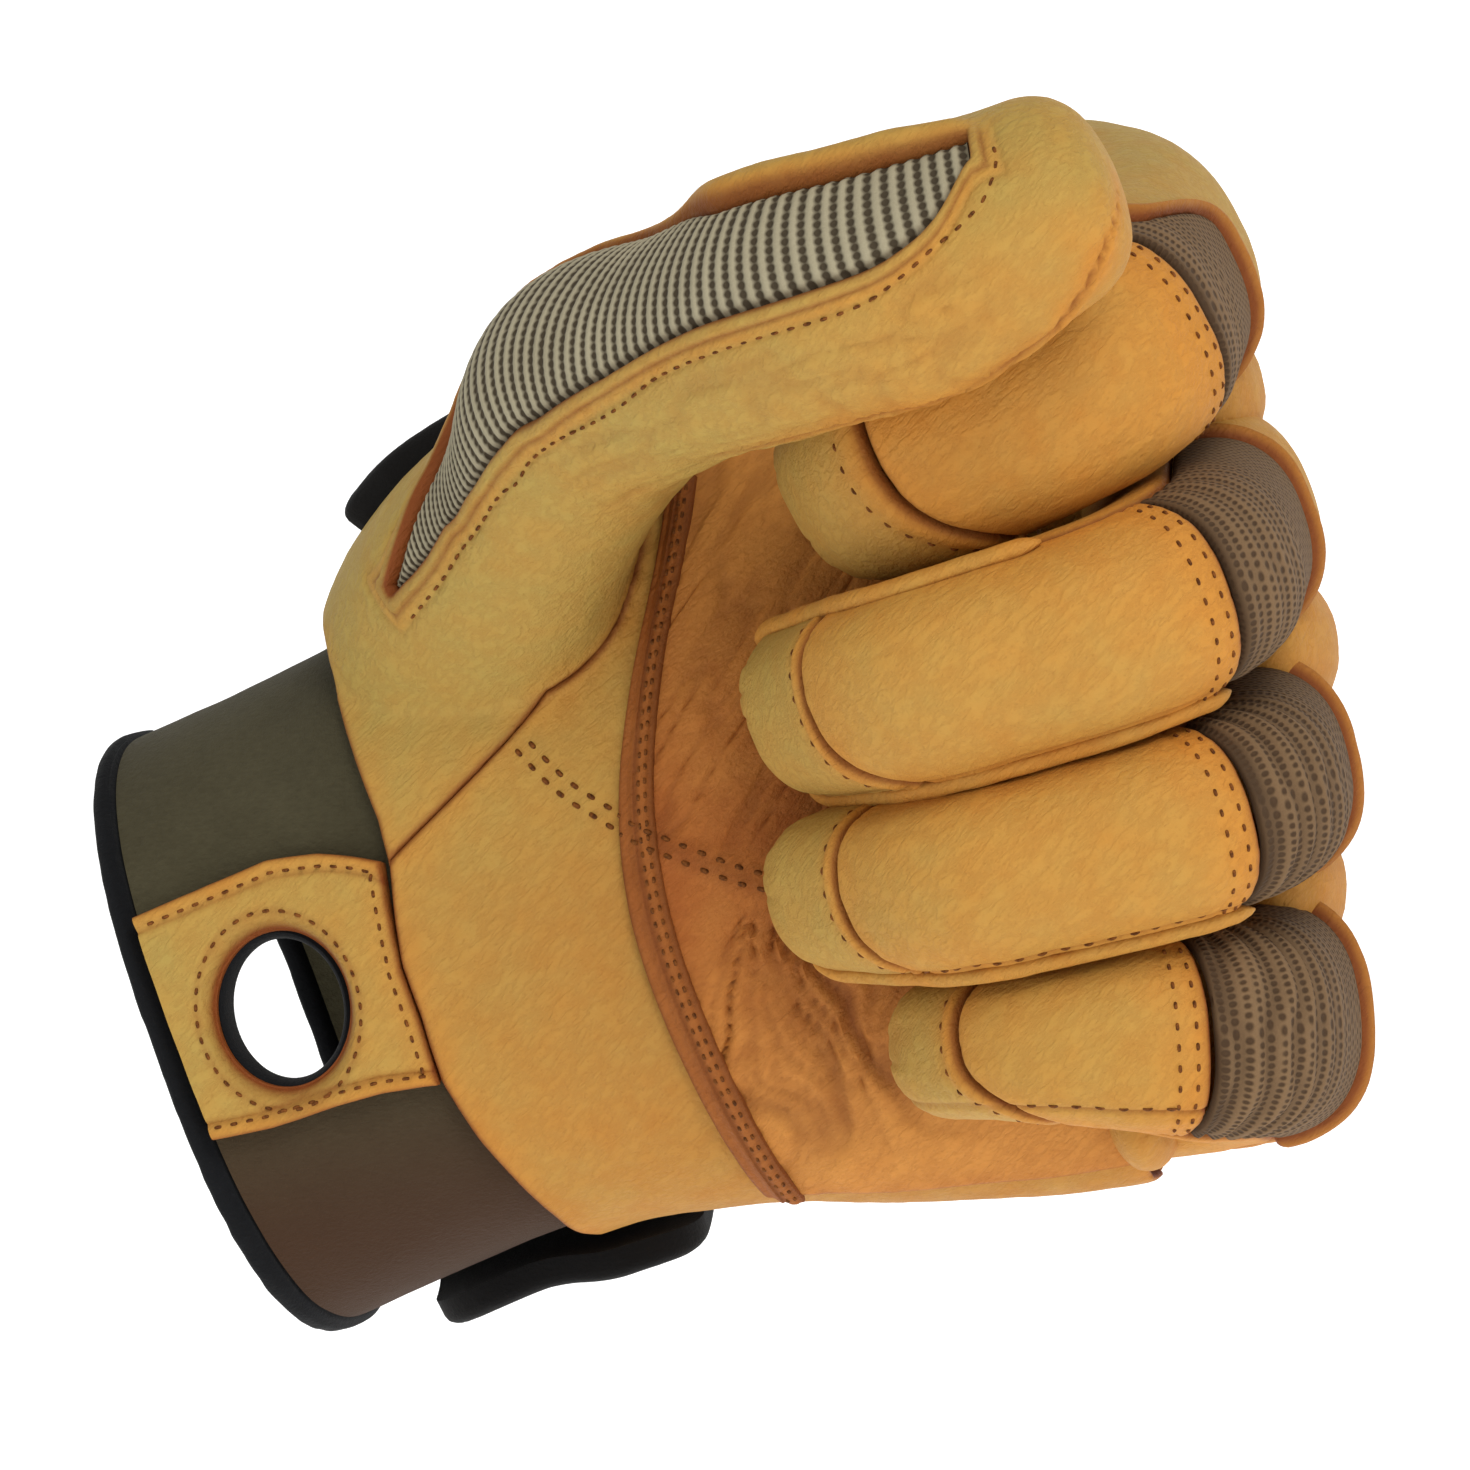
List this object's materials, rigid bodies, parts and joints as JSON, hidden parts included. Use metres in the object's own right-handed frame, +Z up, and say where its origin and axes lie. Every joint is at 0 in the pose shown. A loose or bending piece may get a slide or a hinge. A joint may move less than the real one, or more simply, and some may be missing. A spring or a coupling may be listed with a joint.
{
  "type": "belay glove",
  "caption": "Left-hand leather belay glove closed round a grip channel, with stretch mesh panels, a bound stretch cuff, a clip-hole tab and a closing strap.",
  "frame": {"origin": "centre of the wrist opening, in the plane of the cuff's bound edge", "axes": "+X from the wrist to the knuckles, +Y from the palm to the back of the hand, +Z up along the grip channel, towards the thumb"},
  "size_m": [0.1241, 0.0944, 0.1075],
  "materials": {
    "leather": "tan full-grain leather, matte",
    "patch_leather": "darker orange-tan leather, matte",
    "stretch_mesh": "grey-brown ribbed stretch mesh",
    "cuff_fabric": "brushed olive-brown stretch fabric",
    "black_trim": "black knit binding and webbing"
  },
  "bodies": {
    "root": {"palm": "leather", "palm_patch": "patch_leather", "hand_back": "stretch_mesh", "knuckle_band": "leather", "thumb": "leather", "thumb_insert": "stretch_mesh", "cuff": "cuff_fabric", "cuff_binding": "black_trim", "wrist_tab": "leather", "clip_ring": "black_trim", "closing_strap": "black_trim", "index_inside": "leather", "index_tip": "leather", "index_pad": "leather", "index_fabric": "stretch_mesh", "index_back": "leather", "middle_inside": "leather", "middle_tip": "leather", "middle_pad": "leather", "middle_fabric": "stretch_mesh", "middle_back": "leather", "ring_inside": "leather", "ring_tip": "leather", "ring_pad": "leather", "ring_fabric": "stretch_mesh", "ring_back": "leather", "little_inside": "leather", "little_tip": "leather", "little_pad": "leather", "little_fabric": "stretch_mesh", "little_back": "leather"}
  },
  "joints": []
}
